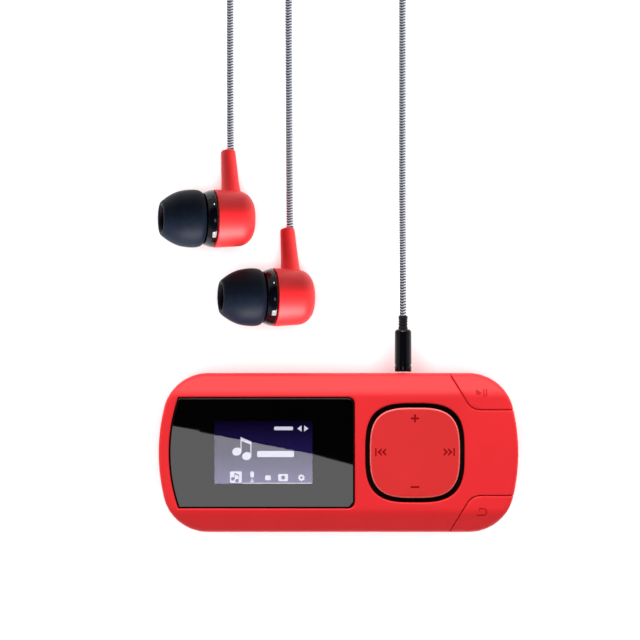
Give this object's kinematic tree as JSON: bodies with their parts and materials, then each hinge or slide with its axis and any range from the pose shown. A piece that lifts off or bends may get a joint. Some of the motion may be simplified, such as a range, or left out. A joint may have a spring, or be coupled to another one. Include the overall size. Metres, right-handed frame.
{
  "type": "digital audio player",
  "caption": "Clip-on digital audio player with a glossy display window, a rocking control pad, corner buttons and a sprung back clip, lying flat with corded in-ear headphones plugged in",
  "frame": {"origin": "under the middle of the player, on the surface that its clip lies on", "axes": "+X along the player from its display to its control pad, +Y across it towards the headphone socket, +Z out of the front face"},
  "size_m": [0.0821, 0.1498, 0.0156],
  "materials": {
    "red_plastic": "soft-touch matt red moulding",
    "window": "polished black-printed acrylic",
    "display": "small colour display glass",
    "black_plastic": "matt black moulding",
    "gloss_black": "polished black moulding",
    "board": "green solder mask",
    "chip": "moulded chip package",
    "battery_foil": "laminated pouch foil",
    "steel": "bright steel",
    "gold": "gold-plated contact",
    "polyimide": "amber flexible circuit",
    "silicone": "matt dark silicone",
    "braid": "braided dark cord with light flecks"
  },
  "bodies": {
    "player": {"front_cover": "red_plastic", "rear_cover": "red_plastic", "screen_window": "window", "display_panel": "display", "display_ribbon": "polyimide", "display_holder": "black_plastic", "headphone_socket": "black_plastic", "circuit_board": "board", "processor_chip": "chip", "memory_chip": "chip", "battery": "battery_foil", "usb_socket": "steel", "microphone": "steel", "clip_pin": "steel", "clip_spring": "steel", "volume_up_switch": "steel", "volume_down_switch": "steel", "previous_switch": "steel", "next_switch": "steel", "play_switch": "steel", "back_switch": "steel", "case_screw_1": "steel", "case_screw_2": "steel", "case_screw_3": "steel", "case_screw_4": "steel"},
    "pad_rocker": {"pad_pivot": "black_plastic"},
    "pad": {"nav_pad": "red_plastic", "pad_retainer": "black_plastic"},
    "play_key": {"play_button": "red_plastic"},
    "back_key": {"back_button": "red_plastic"},
    "clip_leaf": {"clip": "red_plastic"},
    "headphones": {"plug_contact": "gold", "plug_barrel": "gloss_black", "plug_neck": "black_plastic", "main_cord_run": "braid", "main_cord_coil": "braid", "main_cord_tail": "braid", "left_cord_run": "braid", "left_cord_coil": "braid", "left_cord_tail": "braid", "right_cord_run": "braid", "right_cord_coil": "braid", "right_cord_tail": "braid", "main_cord_tie": "black_plastic", "left_cord_tie": "black_plastic", "right_cord_tie": "black_plastic", "cord_splitter": "gloss_black", "left_bud_housing": "red_plastic", "left_bud_stem": "red_plastic", "left_bud_driver": "steel", "left_bud_collar": "gloss_black", "left_bud_grille": "steel", "left_ear_tip": "silicone", "right_bud_housing": "red_plastic", "right_bud_stem": "red_plastic", "right_bud_driver": "steel", "right_bud_collar": "gloss_black", "right_bud_grille": "steel", "right_ear_tip": "silicone"}
  },
  "joints": [
    {"name": "pad_tilt_up_down", "type": "hinge", "parent": "player", "child": "pad_rocker", "pos_m": [0.01615, 0, 0.0129], "axis": [1, 0, 0], "range_deg": [-1.5, 1.5], "stiffness_Nm_per_rad": 0.3},
    {"name": "pad_tilt_left_right", "type": "hinge", "parent": "pad_rocker", "child": "pad", "pos_m": [0.01615, 0, 0.0129], "axis": [0, 1, 0], "range_deg": [-1.5, 1.5], "stiffness_Nm_per_rad": 0.3},
    {"name": "play_button_press", "type": "slide", "parent": "player", "child": "play_key", "axis": [0, 0, -1], "range_m": [0, 0.0003], "stiffness_N_per_m": 1500},
    {"name": "back_button_press", "type": "slide", "parent": "player", "child": "back_key", "axis": [0, 0, -1], "range_m": [0, 0.0003], "stiffness_N_per_m": 1500},
    {"name": "clip_hinge", "type": "hinge", "parent": "player", "child": "clip_leaf", "pos_m": [0.017, 0, 0.00305], "axis": [0, -1, 0], "range_deg": [0, 14], "stiffness_Nm_per_rad": 0.08, "springref_deg": -11.46, "deforming": ["clip_spring"]},
    {"name": "plug_pull", "type": "slide", "parent": "player", "child": "headphones", "axis": [0, 1, 0], "range_m": [0, 0.018]}
  ]
}
